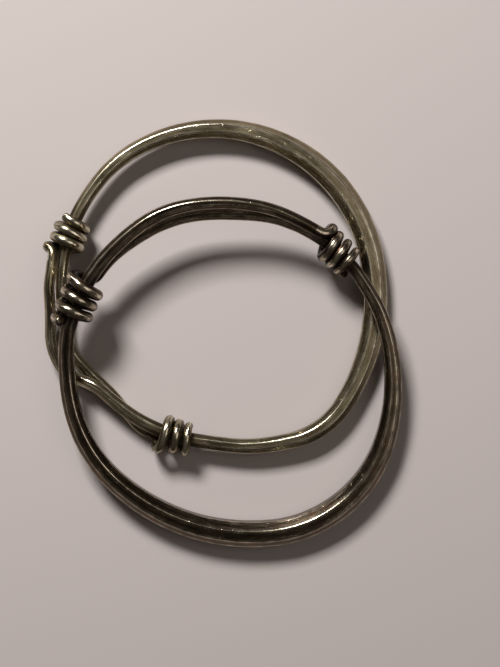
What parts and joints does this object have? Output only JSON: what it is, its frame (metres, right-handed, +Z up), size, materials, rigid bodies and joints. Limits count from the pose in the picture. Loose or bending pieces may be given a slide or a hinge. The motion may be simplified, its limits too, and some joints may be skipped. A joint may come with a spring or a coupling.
{
  "type": "adjustable wire bangle pair",
  "caption": "Pair of adjustable wrought metal bangles lying one on the other, thick eight-sided bows tapering to wire ends coiled round each other so that they slide.",
  "frame": {"origin": "bottom centre of the bounding box of both bangles, on the surface they lie on", "axes": "+Z up, +Y from the thick bow of the over bangle toward its overlap, +X toward the thick bow of the under bangle"},
  "size_m": [0.0726, 0.0868, 0.0145],
  "materials": {
    "pale_metal": "worn silver-coloured alloy with an olive-brown tarnish, bright along the ridges",
    "dark_metal": "worn silver-coloured alloy with a darker brown-black tarnish, bright along the ridges"
  },
  "bodies": {
    "under_bow": {"under_bow": "pale_metal"},
    "under_top_arm": {"under_top_shoulder": "pale_metal", "under_top_strand": "pale_metal", "under_top_coil": "pale_metal"},
    "under_foot_arm": {"under_foot_shoulder": "pale_metal", "under_foot_strand": "pale_metal", "under_foot_coil": "pale_metal"},
    "over_bow": {"over_bow": "dark_metal"},
    "over_right_arm": {"over_right_shoulder": "dark_metal", "over_right_strand": "dark_metal", "over_right_coil": "dark_metal"},
    "over_left_arm": {"over_left_shoulder": "dark_metal", "over_left_strand": "dark_metal", "over_left_coil": "dark_metal"}
  },
  "joints": [
    {"name": "under_top_flex", "type": "hinge", "parent": "under_bow", "child": "under_top_arm", "pos_m": [-0.01633, 0.03792, 0.00349], "axis": [-0.0249, -0.0064, -0.9997], "range_deg": [0, 7]},
    {"name": "under_foot_flex", "type": "hinge", "parent": "under_bow", "child": "under_foot_arm", "pos_m": [0.01429, -0.02164, 0.00311], "axis": [-0.0249, -0.0064, -0.9997], "range_deg": [-7, 0]},
    {"name": "over_lift", "type": "slide", "parent": "under_bow", "child": "over_bow", "axis": [0, 0, 1], "range_m": [0, 0.03]},
    {"name": "over_right_flex", "type": "hinge", "parent": "over_bow", "child": "over_right_arm", "pos_m": [0.03279, 0.00111, 0.00637], "axis": [-0.0288, 0.1026, -0.9943], "range_deg": [0, 8]},
    {"name": "over_left_flex", "type": "hinge", "parent": "over_bow", "child": "over_left_arm", "pos_m": [-0.03059, -0.01174, 0.00688], "axis": [-0.0288, 0.1026, -0.9943], "range_deg": [-8, 0]}
  ],
  "couplings": [
    {"joint": "under_foot_flex", "follows": "under_top_flex", "ratio": -1},
    {"joint": "over_left_flex", "follows": "over_right_flex", "ratio": -1}
  ]
}
